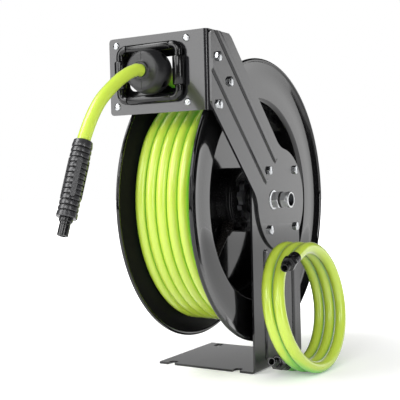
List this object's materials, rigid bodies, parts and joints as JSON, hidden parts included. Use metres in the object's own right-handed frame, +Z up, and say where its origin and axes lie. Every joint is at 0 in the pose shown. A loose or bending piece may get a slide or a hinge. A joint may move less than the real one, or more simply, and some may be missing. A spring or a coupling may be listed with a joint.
{
  "type": "retractable hose reel",
  "caption": "Spring-wound air hose reel: glossy dark grey sheet-metal stand and guide arm, black dished drum, lime hose with a ball stop and grip, and a coiled lead-in hose.",
  "frame": {"origin": "underside of the base plate, straight below the axle and in the drum's middle plane", "axes": "+X along the axle from the drum towards the post and the air inlet, -Y towards the hose outlet, +Z up"},
  "size_m": [0.2386, 0.5573, 0.451],
  "materials": {
    "frame_paint": "gloss enamel",
    "drum_paint": "gloss enamel",
    "zinc": "bright zinc plate",
    "steel": "plain steel",
    "spring_steel": "blued spring steel",
    "bronze": "sintered bronze",
    "black_plastic": "fine texture",
    "rubber": "moulded matte",
    "hose": "smooth satin",
    "black_metal": "black finish"
  },
  "bodies": {
    "frame": {"arm_bolt_1": "zinc", "arm_bolt_2": "zinc", "arm_bolt_3": "zinc", "arm_bolt_4": "zinc", "axle_nut": "zinc", "axle_shaft": "steel", "axle_washer": "zinc", "ball_stop_far": "rubber", "ball_stop_near": "rubber", "ball_stop_screw_1": "zinc", "ball_stop_screw_2": "zinc", "bottom_roller_pin": "zinc", "carrier_screw_1": "zinc", "carrier_screw_2": "zinc", "carrier_screw_3": "zinc", "carrier_screw_4": "zinc", "end_fitting": "black_metal", "grip": "black_plastic", "guide_arm": "frame_paint", "guide_bolt_1": "zinc", "guide_bolt_2": "zinc", "guide_bolt_3": "zinc", "guide_bracket": "frame_paint", "hose_feed": "hose", "hose_winding": "hose", "lead_in_fitting_foot": "black_metal", "lead_in_fitting_top": "black_metal", "lead_in_hose": "hose", "left_roller_pin": "zinc", "outlet_hose": "hose", "pawl_pin": "steel", "pawl_spring": "spring_steel", "right_roller_pin": "zinc", "roller_carrier": "black_plastic", "shaft_retainer": "steel", "stand": "frame_paint", "swivel_seal": "rubber", "top_roller_pin": "zinc"},
    "drum": {"drum_half_near": "drum_paint", "drum_half_far": "drum_paint", "hub_housing": "black_metal", "hub_cover": "black_metal", "hub_screw_1": "black_metal", "hub_screw_2": "black_metal", "hub_screw_3": "black_metal", "hub_bushing": "bronze", "ratchet_wheel": "steel", "air_pipe": "black_metal", "spring_case": "black_metal", "spring_cover": "black_metal", "cover_bushing": "bronze", "power_spring": "spring_steel", "hose_core": "hose"},
    "top_roller": {"top_roller": "black_plastic"},
    "bottom_roller": {"bottom_roller": "black_plastic"},
    "left_roller": {"left_roller": "black_plastic"},
    "right_roller": {"right_roller": "black_plastic"},
    "pawl": {"pawl": "steel"},
    "inlet_swivel": {"inlet_swivel": "zinc"}
  },
  "joints": [
    {"name": "drum_spin", "type": "hinge", "parent": "frame", "child": "drum", "pos_m": [0, 0, 0.234], "axis": [1, 0, 0], "continuous": true, "stiffness_Nm_per_rad": 0.035},
    {"name": "top_roller_spin", "type": "hinge", "parent": "frame", "child": "top_roller", "pos_m": [-0.018, -0.17, 0.4346], "axis": [1, 0, 0], "continuous": true},
    {"name": "bottom_roller_spin", "type": "hinge", "parent": "frame", "child": "bottom_roller", "pos_m": [-0.018, -0.17, 0.3694], "axis": [1, 0, 0], "continuous": true},
    {"name": "left_roller_spin", "type": "hinge", "parent": "frame", "child": "left_roller", "pos_m": [-0.0627, -0.17, 0.402], "axis": [0, 0, 1], "continuous": true},
    {"name": "right_roller_spin", "type": "hinge", "parent": "frame", "child": "right_roller", "pos_m": [0.0267, -0.17, 0.402], "axis": [0, 0, 1], "continuous": true},
    {"name": "pawl_swing", "type": "hinge", "parent": "frame", "child": "pawl", "pos_m": [0.0325, 0.0453, 0.24199], "axis": [1, 0, 0], "range_deg": [0, 9], "stiffness_Nm_per_rad": 0.1},
    {"name": "inlet_swivel_spin", "type": "hinge", "parent": "frame", "child": "inlet_swivel", "pos_m": [0.09, 0, 0.234], "axis": [1, 0, 0], "continuous": true}
  ]
}
